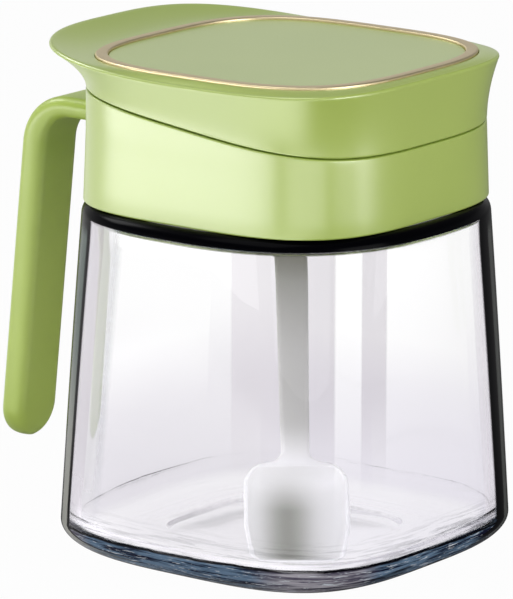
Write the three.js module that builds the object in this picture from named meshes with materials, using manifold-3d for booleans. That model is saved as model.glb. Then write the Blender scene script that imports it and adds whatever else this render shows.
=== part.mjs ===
// Square glass spice jar with a green collar, a side handle, a flip lid with a thumb tab and a loose spoon.
// Millimetres, +Z up. The origin is the middle of the flat base. The handle and the hinge are on the -X side.

import * as THREE from 'three';
import { mergeVertices } from 'three/addons/utils/BufferGeometryUtils.js';
import Module from 'manifold-3d';

const wasm = await Module();
wasm.setup();

const GAP = 0.3; // clearance between neighbouring pieces
const SIDES = 56; // steps round every outer section
const HIDDEN_SIDES = 40; // steps round the pieces inside
const WALL = 2.4; // green plastic

// Glass body: a rounded square whose half width and squareness change with height
const glass = {
  shoulderZ: 83.8,
  topHalf: 44.2,
  footHalf: 46.2,
  topSquareness: 2.5,
  footSquareness: 3.4,
  wall: 3.6,
  heelWide: 16,
  heelHigh: 8.2,
  shoulderWide: 2.6,
  shoulderHigh: 3,
  floorZ: 5.2,
  innerHeelWide: 8,
  innerHeelHigh: 6,
  innerShoulderHigh: 3.4,
  neckOuter: 32.4,
  neckInner: 28.8,
  neckTop: 99,
};

// Collar: its upper edge lies in a plane that climbs towards the hinge
const collar = {
  bottomZ: glass.shoulderZ + GAP,
  bottomHalf: 41.2,
  edgeHalf: 40.6,
  squareness: 3.3,
  edgeAtFront: 101.5,
  edgeSlope: 0.122,
  seam: 0.3, // open gap between the collar's edge and the lid
  webZ: 91.6,
  webThick: 2,
};

// Collar insert: a skirt that slides over the glass neck, with a flange on the collar's web
const insert = {
  mouth: 27.5,
  lipBottom: 101.2,
  top: 103,
  skirtInner: glass.neckOuter + 0.5,
  skirtOuter: 35,
  skirtBottom: 85.2,
  flangeOuter: 37.4,
  flangeThick: 1.6,
};

const gasket = { inner: glass.neckInner + 0.4, outer: glass.neckOuter - 0.3, thick: 1.6 };

// Lid: the side walls flare out from the seam, most of all into the thumb tab on the -X side
const lid = {
  tabReach: 53.2,
  frontReach: 41.8,
  sideReach: 41.9,
  tabSquareness: 3.1,
  frontSquareness: 3.8,
  topZ: 117.7,
  tabTipZ: 120.5,
  frontEdgeZ: 117.2,
  sideEdgeZ: 116.7,
  flarePower: 1.9,
  edgeRound: 0.7,
  ceilingZ: 114.7,
  innerCorner: 36, // where the inner wall starts to round into the ceiling
};

const POLE_RING = 12; // radius of the innermost ring of a flat face that ends in a pole

const ring = { half: 37.4, squareness: 3.3, width: 2.6, top: 118.3, bottom: 117 };

// Lid liner: a tray that closes the hollow lid from below, with a plug ring that enters the mouth
const liner = {
  half: 36.4,
  bottom: 103.4,
  plate: 2,
  wall: 1.6,
  plugOuter: 25.6,
  plugInner: 23.6,
  plugBottom: 100.2,
};

const seal = { inner: 25.9, outer: 27.1, bottom: 101, top: 102.6 };

const hinge = {
  x: -44.5,
  z: 110,
  knuckle: 2.6,
  bore: 1.5,
  pin: 1.2,
  lidHalfLength: 5,
  halfLength: 12,
  webTop: 0.4, // above the axis
};

const handle = {
  wide: 15.8,
  gripThick: 6.6,
  armThick: 5,
  edgeRound: 2.2,
  armZ: 98.4,
  bend: 10.8,
  lean: 0.103, // millimetres outwards for each millimetre down
  gripX: -70.5, // middle of the grip at the height of gripZ
  gripZ: 88.6,
  tipZ: 14.8,
};

const screw = { y: 4, shank: 1.2, head: 2.3, headThick: 1.5, length: 12 };

// Spoon: it leans across the jar, with the bowl's lip low in one corner and the stem against the neck
const spoon = {
  azimuth: 38.7, // degrees from -Y towards +X, the way in which the foot points
  tilt: 37.3, // degrees from upright
  footReach: 40.7,
  footZ: 6.4,
  sideways: 1.6,
  length: 110.8,
  bowlLong: 24,
  bowlHalf: 11.6,
  bowlDeep: 4.6,
  wall: 1.1,
  stemHalfTop: 3.8,
  stemHalfLow: 3.2,
  stemThick: 2,
};

const COLOURS = {
  glass: 0xe8e6ec,
  green: 0xb9d07c,
  gold: 0xd9b878,
  white: 0xf0f0ea,
  silicone: 0xe4e6e2,
  steel: 0xb8bcc0,
  spoon: 0xdfe2dc,
};

function finish(colour, roughness, metalness = 0, opacity = 1) {
  return new THREE.MeshStandardMaterial({
    color: colour,
    roughness,
    metalness,
    opacity,
    transparent: opacity < 1,
  });
}

const clearGlass = finish(COLOURS.glass, 0.05, 0, 0.35);
const greenPlastic = finish(COLOURS.green, 0.45);
const whitePlastic = finish(COLOURS.white, 0.5);
const silicone = finish(COLOURS.silicone, 0.7);
const steel = finish(COLOURS.steel, 0.3, 1);
const gold = finish(COLOURS.gold, 0.3, 0.9);
const spoonPlastic = finish(COLOURS.spoon, 0.35, 0, 0.85);

const product = new THREE.Group();

function addPiece(name, geometry, material) {
  const mesh = new THREE.Mesh(geometry, material);
  mesh.name = name;
  product.add(mesh);
  return mesh;
}

// Radius of a superellipse of the given half width at an angle; squareness 2 is a circle
function squareRadius(angle, half, squareness) {
  const c = Math.abs(Math.cos(angle)) ** squareness;
  const s = Math.abs(Math.sin(angle)) ** squareness;
  return half / (c + s) ** (1 / squareness);
}

// A level or tilted ring of points; height may be a number or a function of x and y
function section(half, squareness, height) {
  return (angle) => {
    const r = squareRadius(angle, half, squareness);
    const x = r * Math.cos(angle);
    const y = r * Math.sin(angle);
    return [x, y, typeof height === 'function' ? height(x, y) : height];
  };
}

const round = (radius, height) => section(radius, 2, height);

// Joins rings of points in order. Without poles the last ring joins the first, as round a tube's wall;
// with poles the first and last rings are each a single point on the axis.
function loft(rings, poles = false, sides = SIDES) {
  const points = [];
  const faces = [];
  const put = (p) => points.push(...p);
  const at = (ringIndex, side) => ringIndex * sides + (side % sides);
  for (const ringPoints of rings) {
    for (let i = 0; i < sides; i++) put(ringPoints((i / sides) * 2 * Math.PI));
  }
  const joins = poles ? rings.length - 1 : rings.length;
  for (let k = 0; k < joins; k++) {
    const next = (k + 1) % rings.length;
    for (let i = 0; i < sides; i++) {
      faces.push(at(k, i), at(k, i + 1), at(next, i + 1));
      faces.push(at(k, i), at(next, i + 1), at(next, i));
    }
  }
  if (poles) {
    for (const [ringIndex, turn] of [[0, 1], [rings.length - 1, 0]]) {
      const pole = points.length / 3;
      put([0, 0, points[3 * at(ringIndex, 0) + 2]]);
      for (let i = 0; i < sides; i++) {
        faces.push(pole, at(ringIndex, i + turn), at(ringIndex, i + 1 - turn));
      }
    }
  }
  return geometryFrom(points, faces);
}

function geometryFrom(points, faces) {
  const geometry = new THREE.BufferGeometry();
  geometry.setAttribute('position', new THREE.Float32BufferAttribute(points, 3));
  geometry.setIndex(faces);
  return geometry;
}

function solidOf(geometry) {
  const bare = geometry.clone();
  bare.deleteAttribute('normal');
  bare.deleteAttribute('uv');
  const merged = mergeVertices(bare, 1e-4);
  return new wasm.Manifold(
    new wasm.Mesh({
      numProp: 3,
      vertProperties: new Float32Array(merged.attributes.position.array),
      triVerts: new Uint32Array(merged.index.array),
    }),
  );
}

function geometryOf(solid) {
  const mesh = solid.getMesh();
  return geometryFrom(Array.from(mesh.vertProperties), Array.from(mesh.triVerts));
}

// A cylinder along Y between two values of y
function barAlongY(x, z, radius, fromY, toY, sides = 24) {
  const bar = new THREE.CylinderGeometry(radius, radius, toY - fromY, sides);
  return bar.translate(x, (fromY + toY) / 2, z);
}

function barAlongX(y, z, radius, fromX, toX, sides = 12) {
  const bar = new THREE.CylinderGeometry(radius, radius, toX - fromX, sides);
  return bar.rotateZ(-Math.PI / 2).translate((fromX + toX) / 2, y, z);
}

function block(fromX, toX, fromY, toY, fromZ, toZ) {
  const box = new THREE.BoxGeometry(toX - fromX, toY - fromY, toZ - fromZ);
  return box.translate((fromX + toX) / 2, (fromY + toY) / 2, (fromZ + toZ) / 2);
}

// Points of a quarter ellipse as shares of its width and height, from its flat end to its upright end
function quarter(steps) {
  return Array.from({ length: steps + 1 }, (_, i) => {
    const turn = (i / steps) * (Math.PI / 2);
    return [Math.sin(turn), 1 - Math.cos(turn)];
  });
}

const mix = (from, to, share) => from + (to - from) * share;

// Glass jar
function glassHalf(z) {
  return mix(glass.footHalf, glass.topHalf, z / glass.shoulderZ);
}

function glassSquareness(z) {
  return mix(glass.footSquareness, glass.topSquareness, z / glass.shoulderZ);
}

function glassRing(z, inwards) {
  return section(glassHalf(z) - inwards, glassSquareness(z), z);
}

function makeGlassJar() {
  const outside = [glassRing(0, glass.heelWide)];
  for (const [wide, high] of quarter(6).slice(1)) {
    outside.push(glassRing(high * glass.heelHigh, glass.heelWide * (1 - wide)));
  }
  const shoulderStart = glass.shoulderZ - glass.shoulderHigh;
  for (const share of [0.33, 0.67, 1]) {
    outside.push(glassRing(mix(glass.heelHigh, shoulderStart, share), 0));
  }
  for (const [up, inwards] of quarter(4).slice(1)) {
    outside.push(glassRing(shoulderStart + up * glass.shoulderHigh, inwards * glass.shoulderWide));
  }
  outside.push(round(glass.neckOuter + 1, glass.shoulderZ));
  outside.push(round(glass.neckOuter, glass.shoulderZ + 1));
  outside.push(round(glass.neckOuter, glass.neckTop - 1));
  outside.push(round(glass.neckOuter - 0.6, glass.neckTop));

  const inside = [round(glass.neckInner + 0.6, glass.neckTop), round(glass.neckInner, glass.neckTop - 1)];
  const ceiling = glass.shoulderZ - glass.wall;
  inside.push(round(glass.neckInner, ceiling + 1));
  for (const [along, drop] of quarter(5)) {
    const z = ceiling - drop * glass.innerShoulderHigh;
    const full = glassHalf(z) - glass.wall;
    const squareness = mix(2, glassSquareness(z), along);
    inside.push(section(mix(glass.neckInner + 1, full, along), squareness, z));
  }
  const heelTop = glass.floorZ + glass.innerHeelHigh;
  for (const share of [0.4, 0.8]) {
    inside.push(glassRing(mix(ceiling - glass.innerShoulderHigh, heelTop, share), glass.wall));
  }
  for (const [wide, high] of quarter(5).reverse()) {
    const z = glass.floorZ + high * glass.innerHeelHigh;
    inside.push(glassRing(z, glass.wall + glass.innerHeelWide * (1 - wide)));
  }
  return loft([...outside, ...inside], true);
}

addPiece('glass_jar', makeGlassJar(), clearGlass);

// A ring whose section is a closed outline of [radius, height] points
function turned(outline, sides = HIDDEN_SIDES) {
  const points = [...outline, outline[0]].map(([r, z]) => new THREE.Vector2(r, z));
  return new THREE.LatheGeometry(points, sides).rotateX(Math.PI / 2);
}

addPiece(
  'neck_gasket',
  turned([
    [gasket.inner, glass.neckTop + GAP],
    [gasket.outer, glass.neckTop + GAP],
    [gasket.outer, glass.neckTop + GAP + gasket.thick],
    [gasket.inner, glass.neckTop + GAP + gasket.thick],
  ]),
  silicone,
);

const webTop = collar.webZ + collar.webThick;
const flangeBottom = webTop + GAP;

addPiece(
  'collar_insert',
  turned([
    [insert.mouth, insert.lipBottom],
    [insert.skirtInner, insert.lipBottom],
    [insert.skirtInner, insert.skirtBottom],
    [insert.skirtOuter, insert.skirtBottom],
    [insert.skirtOuter, flangeBottom],
    [insert.flangeOuter, flangeBottom],
    [insert.flangeOuter, flangeBottom + insert.flangeThick],
    [insert.skirtOuter, flangeBottom + insert.flangeThick],
    [insert.skirtOuter, insert.top],
    [insert.mouth, insert.top],
  ]),
  whitePlastic,
);

// Collar
const seamZ = (x) => collar.edgeAtFront + collar.edgeSlope * (collar.edgeHalf - x);

function collarHalf(z) {
  const share = (z - collar.bottomZ) / (collar.edgeAtFront - collar.bottomZ);
  return mix(collar.bottomHalf, collar.edgeHalf, Math.min(share, 1));
}

// The clearance hole of one screw, through the collar's wall and into the arm
function screwHole(side) {
  const inner = -collar.edgeHalf + 2 * WALL;
  const outer = -collar.edgeHalf - screw.length;
  return solidOf(barAlongX(side * screw.y, handle.armZ, screw.shank + GAP, outer, inner));
}

function makeCollar() {
  const wall = (z, inwards) => section(collarHalf(z) - inwards, collar.squareness, z);
  const rim = (x) => seamZ(x) - collar.seam / 2;
  const edge = (inwards, drop) => section(collar.edgeHalf - inwards, collar.squareness, (x) => rim(x) - drop);
  const webInner = insert.skirtOuter + GAP;
  const rings = [
    wall(collar.bottomZ, 0.4),
    wall(collar.bottomZ + 0.4, 0),
    edge(0, 0.3),
    edge(0.3, 0),
    edge(WALL, 0),
    wall(webTop, WALL),
    round(webInner, webTop),
    round(webInner, collar.webZ),
    wall(collar.webZ, WALL),
    wall(collar.bottomZ, WALL),
  ];
  let solid = solidOf(loft(rings));
  for (const side of [-1, 1]) {
    const near = side * (hinge.lidHalfLength + GAP);
    const far = side * hinge.halfLength;
    const [from, to] = [Math.min(near, far), Math.max(near, far)];
    const knuckle = solidOf(barAlongY(hinge.x, hinge.z, hinge.knuckle, from, to));
    const [low, high] = [hinge.z - hinge.knuckle, hinge.z + hinge.webTop];
    const web = solidOf(block(hinge.x, -collar.edgeHalf + 1, from, to, low, high));
    solid = solid.add(knuckle).add(web);
  }
  const pinHole = barAlongY(hinge.x, hinge.z, hinge.bore, -hinge.halfLength - 1, hinge.halfLength + 1);
  solid = solid.subtract(solidOf(pinHole));
  for (const side of [-1, 1]) {
    solid = solid.subtract(screwHole(side));
  }
  return geometryOf(solid);
}

addPiece('collar', makeCollar(), greenPlastic);

// Handle: a rounded strap carried along an arm, a bend and a grip that leans outwards
function handlePath() {
  const lean = Math.atan(handle.lean);
  const turn = Math.PI / 2 - lean;
  const gripAt = (z) => handle.gripX - handle.lean * (handle.gripZ - z);
  // the bend's centre lies one bend radius below the arm and one inside the grip's line
  const centreZ = handle.armZ - handle.bend;
  const centreX = gripAt(centreZ) + handle.bend / Math.cos(lean);
  const path = [];
  const start = -collarHalf(handle.armZ - handle.armThick / 2) - GAP;
  path.push({ x: start, z: handle.armZ, turn: 0, thick: handle.armThick });
  const steps = 8;
  for (let i = 0; i <= steps; i++) {
    const angle = (i / steps) * turn;
    path.push({
      x: centreX - handle.bend * Math.sin(angle),
      z: centreZ + handle.bend * Math.cos(angle),
      turn: angle,
      thick: mix(handle.armThick, handle.gripThick, i / steps),
    });
  }
  const last = path[path.length - 1];
  const straightEnd = handle.tipZ + handle.wide / 2;
  for (const share of [0.5, 1]) {
    const z = mix(last.z, straightEnd, share);
    path.push({ x: gripAt(z), z, turn, thick: handle.gripThick });
  }
  return path;
}

// Outline of the strap's section as [across, out] points; share narrows it towards the rounded tip
function strapOutline(halfWide, halfThick) {
  const points = [];
  const corner = Math.min(handle.edgeRound, halfWide * 0.9, halfThick * 0.9);
  for (const [sy, so, start] of [[1, 1, 0], [-1, 1, 1], [-1, -1, 2], [1, -1, 3]]) {
    for (let i = 0; i <= 4; i++) {
      const angle = (start + i / 4) * (Math.PI / 2);
      points.push([
        sy * (halfWide - corner) + corner * Math.cos(angle),
        so * (halfThick - corner) + corner * Math.sin(angle),
      ]);
    }
  }
  return points;
}

function makeHandle() {
  const stations = handlePath().map((p) => ({ ...p, halfWide: handle.wide / 2, halfThick: p.thick / 2 }));
  const end = stations[stations.length - 1];
  const lean = Math.atan(handle.lean);
  for (const [forward, narrow] of quarter(6).slice(1)) {
    // the tip is round across its width, and rounds off in thickness over the last few millimetres
    const reach = forward * (handle.wide / 2);
    const wideShare = Math.sqrt(Math.max(1 - forward ** 2, 0.004));
    const thickShare = 1 - 0.55 * narrow ** 1.5;
    stations.push({
      x: end.x - Math.sin(lean) * reach,
      z: end.z - Math.cos(lean) * reach,
      turn: end.turn,
      halfWide: (handle.wide / 2) * wideShare,
      halfThick: (handle.gripThick / 2) * thickShare,
    });
  }
  const points = [];
  const faces = [];
  let count = 0;
  for (const station of stations) {
    const outline = strapOutline(station.halfWide, station.halfThick);
    count = outline.length;
    for (const [y, out] of outline) {
      points.push(station.x - out * Math.sin(station.turn), y, station.z + out * Math.cos(station.turn));
    }
  }
  for (let k = 0; k + 1 < stations.length; k++) {
    for (let i = 0; i < count; i++) {
      const a = k * count + i;
      const b = k * count + ((i + 1) % count);
      faces.push(a, b + count, b);
      faces.push(a, a + count, b + count);
    }
  }
  for (let i = 1; i + 1 < count; i++) {
    const lastStart = (stations.length - 1) * count;
    faces.push(0, i, i + 1);
    faces.push(lastStart, lastStart + i + 1, lastStart + i);
  }
  let solid = solidOf(geometryFrom(points, faces));
  for (const side of [-1, 1]) {
    solid = solid.subtract(screwHole(side));
  }
  return geometryOf(solid);
}

addPiece('handle', makeHandle(), greenPlastic);

// Screws: shank through the collar's wall into the arm, head inside the collar
for (const [name, side] of [['handle_screw_left', 1], ['handle_screw_right', -1]]) {
  const headFace = -(collar.edgeHalf - WALL) + GAP;
  const y = side * screw.y;
  const shank = solidOf(barAlongX(y, handle.armZ, screw.shank, headFace - screw.length, headFace + 0.2));
  const head = solidOf(barAlongX(y, handle.armZ, screw.head, headFace, headFace + screw.headThick));
  addPiece(name, geometryOf(shank.add(head)), steel);
}

// Lid
function lidEdgeRadius(angle) {
  const leftwards = Math.cos(angle) < 0;
  const reach = leftwards ? lid.tabReach : lid.frontReach;
  const squareness = leftwards ? lid.tabSquareness : lid.frontSquareness;
  const c = (Math.abs(Math.cos(angle)) / reach) ** squareness;
  const s = (Math.abs(Math.sin(angle)) / lid.sideReach) ** squareness;
  return 1 / (c + s) ** (1 / squareness);
}

// The lid's upper edge is lowest beside the middle and rises into the tab
function lidEdgeZ(x) {
  const share = x < 0 ? -x / lid.tabReach : x / lid.frontReach;
  return mix(lid.sideEdgeZ, x < 0 ? lid.tabTipZ : lid.frontEdgeZ, share ** 2);
}

// A point of the lid's side: up is 0 at the seam and 1 at the upper edge
function lidSide(angle, up, inwards, lift) {
  const low = squareRadius(angle, collar.edgeHalf, collar.squareness);
  const high = lidEdgeRadius(angle);
  const radius = mix(low, high, up ** lid.flarePower) - inwards;
  const x = radius * Math.cos(angle);
  const lowX = low * Math.cos(angle);
  const highX = high * Math.cos(angle);
  const z = mix(seamZ(lowX) + collar.seam / 2 + lift, lidEdgeZ(highX) - lid.edgeRound, up);
  return [x, radius * Math.sin(angle), z];
}

function makeLidShell() {
  const grooveOuter = ring.half + ring.width / 2 + GAP;
  const grooveInner = ring.half - ring.width / 2 - GAP;
  const grooveZ = ring.bottom - GAP;
  const level = (half, z) => section(half, ring.squareness, z);
  const border = (share) => (angle) => {
    const inner = squareRadius(angle, grooveOuter, ring.squareness);
    const outer = lidEdgeRadius(angle) - lid.edgeRound;
    const radius = mix(inner, outer, share);
    const edge = lidEdgeZ(outer * Math.cos(angle));
    return [radius * Math.cos(angle), radius * Math.sin(angle), mix(lid.topZ, edge, share ** 1.6)];
  };
  const innerWall = (z) => (angle) => {
    const radius = squareRadius(angle, collar.edgeHalf - WALL, collar.squareness);
    const x = radius * Math.cos(angle);
    return [x, radius * Math.sin(angle), Math.max(z, seamZ(x) + 0.2)];
  };
  const rings = [
    level(POLE_RING, lid.topZ),
    level(grooveInner, lid.topZ),
    level(grooveInner, grooveZ),
    level(grooveOuter, grooveZ),
    level(grooveOuter, lid.topZ),
    border(0.5),
    border(1),
  ];
  for (const up of [1, 0.85, 0.7, 0.5, 0.3, 0.12]) {
    rings.push((angle) => lidSide(angle, up, 0, 0));
  }
  rings.push((angle) => lidSide(angle, 0, 0, 0.3));
  rings.push((angle) => lidSide(angle, 0, 0.3, 0));
  rings.push((angle) => lidSide(angle, 0, WALL, 0));
  rings.push(innerWall(lid.ceilingZ - 1));
  rings.push(level(lid.innerCorner, lid.ceilingZ));
  rings.push(level(POLE_RING, lid.ceilingZ));
  let solid = solidOf(loft(rings.reverse(), true));

  const knuckle = barAlongY(hinge.x, hinge.z, hinge.knuckle, -hinge.lidHalfLength, hinge.lidHalfLength);
  const web = block(
    hinge.x - hinge.knuckle * 0.8,
    -collar.edgeHalf - 0.9,
    -hinge.lidHalfLength,
    hinge.lidHalfLength,
    hinge.z + 0.6,
    hinge.z + 7,
  );
  const hole = barAlongY(hinge.x, hinge.z, hinge.bore, -hinge.lidHalfLength - 1, hinge.lidHalfLength + 1);
  solid = solid.add(solidOf(knuckle)).add(solidOf(web)).subtract(solidOf(hole));
  return geometryOf(solid);
}

addPiece('lid_shell', makeLidShell(), greenPlastic);

// Trim ring: a flat band that stands a little proud of the lid's top
function makeTrimRing() {
  const outer = ring.half + ring.width / 2;
  const inner = ring.half - ring.width / 2;
  const level = (half, z) => section(half, ring.squareness, z);
  return loft([
    level(outer, ring.bottom),
    level(outer, ring.top - 0.3),
    level(outer - 0.3, ring.top),
    level(inner + 0.3, ring.top),
    level(inner, ring.top - 0.3),
    level(inner, ring.bottom),
  ]);
}

addPiece('trim_ring', makeTrimRing(), gold);

// Lid liner: a tray with a plug ring below it
function makeLidLiner() {
  const wallTop = lid.ceilingZ - GAP;
  const level = (half, z) => section(half, collar.squareness, z);
  const plateTop = liner.bottom + liner.plate;
  const rings = [
    round(POLE_RING, liner.bottom),
    round(liner.plugInner, liner.bottom),
    round(liner.plugInner, liner.plugBottom),
    round(liner.plugOuter - 0.4, liner.plugBottom),
    round(liner.plugOuter, liner.plugBottom + 0.6),
    round(liner.plugOuter, liner.bottom),
    level(liner.half, liner.bottom),
    level(liner.half, wallTop),
    level(liner.half - liner.wall, wallTop),
    level(liner.half - liner.wall, plateTop),
    round(POLE_RING, plateTop),
  ];
  return loft(rings, true, HIDDEN_SIDES);
}

addPiece('lid_liner', makeLidLiner(), whitePlastic);

addPiece(
  'lid_seal',
  turned([
    [seal.inner, seal.bottom],
    [seal.outer - 0.4, seal.bottom],
    [seal.outer, (seal.bottom + seal.top) / 2],
    [seal.outer - 0.4, seal.top],
    [seal.inner, seal.top],
  ]),
  silicone,
);

const pinReach = hinge.halfLength + GAP;
addPiece('hinge_pin', barAlongY(hinge.x, hinge.z, hinge.pin, -pinReach, pinReach), steel);

// Spoon, made lying in its own plane: x across, y up the stem from the foot, z out of the open bowl
function spoonHalfWidth(along) {
  const footRound = 4.5;
  const shoulderRound = 6.5;
  if (along < footRound) {
    const drop = footRound - along;
    return spoon.bowlHalf - 1 - footRound + Math.sqrt(Math.max(footRound ** 2 - drop ** 2, 0.2));
  }
  if (along < spoon.bowlLong - shoulderRound) {
    return spoon.bowlHalf - 1 + Math.min((along - footRound) / 6, 1);
  }
  if (along < spoon.bowlLong) {
    const rise = along - (spoon.bowlLong - shoulderRound);
    const rounded = spoon.bowlHalf - shoulderRound + Math.sqrt(shoulderRound ** 2 - rise ** 2 * 0.93);
    return Math.max(rounded, spoon.stemHalfLow);
  }
  const neck = (along - spoon.bowlLong) / 4;
  if (neck < 1) {
    const shoulder = spoonHalfWidth(spoon.bowlLong - 0.01);
    return mix(shoulder, spoon.stemHalfLow, Math.sqrt(1 - (1 - neck) ** 2));
  }
  const stem = (along - spoon.bowlLong - 4) / (spoon.length - spoon.bowlLong - 4);
  return mix(spoon.stemHalfLow, spoon.stemHalfTop, Math.min(stem * 1.9, 1));
}

// How deep the bowl is at a place: full in the middle, and falling to nothing at its rim
function bowlDepth(along, across) {
  const rim = spoon.wall;
  const half = spoonHalfWidth(along) - rim;
  const lengthways = Math.min(along - rim, spoon.bowlLong - rim - along) / 5;
  const sideways = (half - Math.abs(across)) / 4.5;
  const share = (v) => Math.sqrt(Math.max(1 - (1 - Math.min(Math.max(v, 0), 1)) ** 2, 0));
  return spoon.bowlDeep * share(lengthways) * share(sideways);
}

function makeSpoon() {
  const bowlSteps = [0, 0.5, 1.2, 2.2, 3.6, 5.4, 8, 12, 16, 18.5, 20.5, 22, 23, 24];
  const stemSteps = [25, 26.5, 28, 40, 60, 76, 100, spoon.length];
  const lengthSteps = [...bowlSteps, ...stemSteps];
  const acrossSteps = 12;
  const front = [];
  const back = [];
  for (const along of lengthSteps) {
    const half = spoonHalfWidth(along);
    for (let i = 0; i <= acrossSteps; i++) {
      const across = -half * Math.cos((i / acrossSteps) * Math.PI);
      const depth = along <= spoon.bowlLong ? bowlDepth(along, across) : 0;
      const inBowl = along <= spoon.bowlLong ? 1 : 0;
      front.push([across, along, -depth]);
      back.push([across, along, -depth - (inBowl ? spoon.wall + 0.2 : spoon.stemThick)]);
    }
  }
  const row = acrossSteps + 1;
  const rows = lengthSteps.length;
  const points = [...front, ...back].flat();
  const faces = [];
  const shift = front.length;
  const quad = (a, b, c, d) => faces.push(a, b, c, a, c, d);
  for (let k = 0; k + 1 < rows; k++) {
    for (let i = 0; i < acrossSteps; i++) {
      const a = k * row + i;
      quad(a, a + 1, a + 1 + row, a + row);
      quad(shift + a, shift + a + row, shift + a + 1 + row, shift + a + 1);
    }
    quad(k * row, k * row + row, shift + k * row + row, shift + k * row);
    const right = k * row + acrossSteps;
    quad(right, shift + right, shift + right + row, right + row);
  }
  const last = (rows - 1) * row;
  for (let i = 0; i < acrossSteps; i++) {
    quad(i, shift + i, shift + i + 1, i + 1);
    quad(last + i, last + i + 1, shift + last + i + 1, shift + last + i);
  }
  return geometryFrom(points, faces);
}

// The spoon's plane stands in a turned and tilted group whose origin is the middle of its foot
const spoonTurn = THREE.MathUtils.degToRad(spoon.azimuth);
const spoonTilt = THREE.MathUtils.degToRad(spoon.tilt);
const across = new THREE.Vector3(Math.cos(spoonTurn), Math.sin(spoonTurn), 0);
const outwards = new THREE.Vector3(Math.sin(spoonTurn), -Math.cos(spoonTurn), 0);
const upwards = new THREE.Vector3(0, 0, 1);
const stemWay = outwards.clone().multiplyScalar(-Math.sin(spoonTilt));
stemWay.addScaledVector(upwards, Math.cos(spoonTilt));
const bowlWay = outwards.clone().multiplyScalar(Math.cos(spoonTilt));
bowlWay.addScaledVector(upwards, Math.sin(spoonTilt));
const foot = outwards.clone().multiplyScalar(spoon.footReach).addScaledVector(across, spoon.sideways);
foot.z = spoon.footZ;

const leaningSpoon = new THREE.Group();
leaningSpoon.quaternion.setFromRotationMatrix(new THREE.Matrix4().makeBasis(across, stemWay, bowlWay));
leaningSpoon.position.copy(foot);
const spoonMesh = new THREE.Mesh(makeSpoon(), spoonPlastic);
spoonMesh.name = 'spoon';
leaningSpoon.add(spoonMesh);
product.add(leaningSpoon);

export default product;
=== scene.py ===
"""A square glass spice jar with a green cap, a flip lid and a loose spoon, on a pale floor.

Lengths in this file are millimetres until a mesh is made, which turns them into metres.
Every surface is a set of rings or sections worked out as whole arrays, and joined into one mesh.
"""

import math

import bpy
import numpy as np
from mathutils import Matrix, Vector


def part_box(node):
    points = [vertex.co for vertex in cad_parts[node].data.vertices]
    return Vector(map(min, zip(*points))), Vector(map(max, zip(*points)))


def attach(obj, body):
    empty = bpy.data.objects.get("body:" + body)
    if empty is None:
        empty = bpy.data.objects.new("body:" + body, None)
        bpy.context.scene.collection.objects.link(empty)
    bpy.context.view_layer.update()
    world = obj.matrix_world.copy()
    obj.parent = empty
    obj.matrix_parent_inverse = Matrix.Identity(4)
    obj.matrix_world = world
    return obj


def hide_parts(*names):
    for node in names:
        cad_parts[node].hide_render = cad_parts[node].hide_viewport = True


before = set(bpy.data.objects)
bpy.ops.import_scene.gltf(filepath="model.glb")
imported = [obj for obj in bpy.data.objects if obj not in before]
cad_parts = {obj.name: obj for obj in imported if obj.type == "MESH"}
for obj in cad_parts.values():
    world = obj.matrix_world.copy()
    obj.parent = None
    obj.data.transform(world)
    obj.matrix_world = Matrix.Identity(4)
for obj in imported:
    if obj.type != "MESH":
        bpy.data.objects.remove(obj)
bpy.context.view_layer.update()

MM = 0.001
SIDES = 288  # points round a finished section
ANGLES = np.arange(SIDES) / SIDES * 2 * np.pi
SHARP = math.radians(38)  # edges that turn more than this stay crisp


def node_box(node):
    """Lowest and highest corner of a CAD node, in millimetres."""
    low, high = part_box(node)
    return np.array(low) / MM, np.array(high) / MM


# The camera stands where the photograph was taken from
CAMERA = {
    "azimuth": 36.66,  # degrees, from -Y towards +X
    "distance": 1314.1,  # level distance from the jar's axis
    "height": 372.66,
    "heading": 36.961,  # degrees, the way it looks
    "pitch": 13.413,  # degrees downwards
    "roll": 0.179,  # degrees
    "lens": 349.32,  # millimetres, as is the sensor's width
    "sensor": 36.0,
}


def make_camera():
    """The camera's three axes are worked out from its heading, pitch and roll."""
    azimuth = math.radians(CAMERA["azimuth"])
    heading = math.radians(CAMERA["heading"])
    pitch = math.radians(CAMERA["pitch"])
    roll = math.radians(CAMERA["roll"])
    ahead = Vector(
        (-math.sin(heading) * math.cos(pitch), math.cos(heading) * math.cos(pitch), -math.sin(pitch))
    )
    level_right = Vector((math.cos(heading), math.sin(heading), 0))
    level_up = level_right.cross(ahead)
    right = level_right * math.cos(roll) + level_up * math.sin(roll)
    up = level_up * math.cos(roll) - level_right * math.sin(roll)
    place = Vector(
        (
            math.sin(azimuth) * CAMERA["distance"],
            -math.cos(azimuth) * CAMERA["distance"],
            CAMERA["height"],
        )
    )
    data = bpy.data.cameras.new("camera")
    data.lens = CAMERA["lens"]
    data.sensor_width = CAMERA["sensor"]
    data.clip_start = 0.01
    data.clip_end = 50
    camera = bpy.data.objects.new("camera", data)
    matrix = Matrix((right, up, -ahead)).transposed().to_4x4()
    matrix.translation = place * MM
    camera.matrix_world = matrix
    bpy.context.scene.collection.objects.link(camera)
    bpy.context.scene.camera = camera


class Value:
    """A shader socket that can be added to, multiplied and so on, each by a Math node."""

    def __init__(self, tree, socket):
        self.tree = tree
        self.socket = socket

    def math(self, operation, first, second):
        return self.tree.node("ShaderNodeMath", {"operation": operation}, {0: first, 1: second})

    def __add__(self, other):
        return self.math("ADD", self, other)

    def __sub__(self, other):
        return self.math("SUBTRACT", self, other)

    def __rsub__(self, other):
        return self.math("SUBTRACT", other, self)

    def __mul__(self, other):
        return self.math("MULTIPLY", self, other)

    def at_most(self, other):
        return self.math("MINIMUM", self, other)

    def at_least(self, other):
        return self.math("MAXIMUM", self, other)

    __radd__ = __add__
    __rmul__ = __mul__


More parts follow.
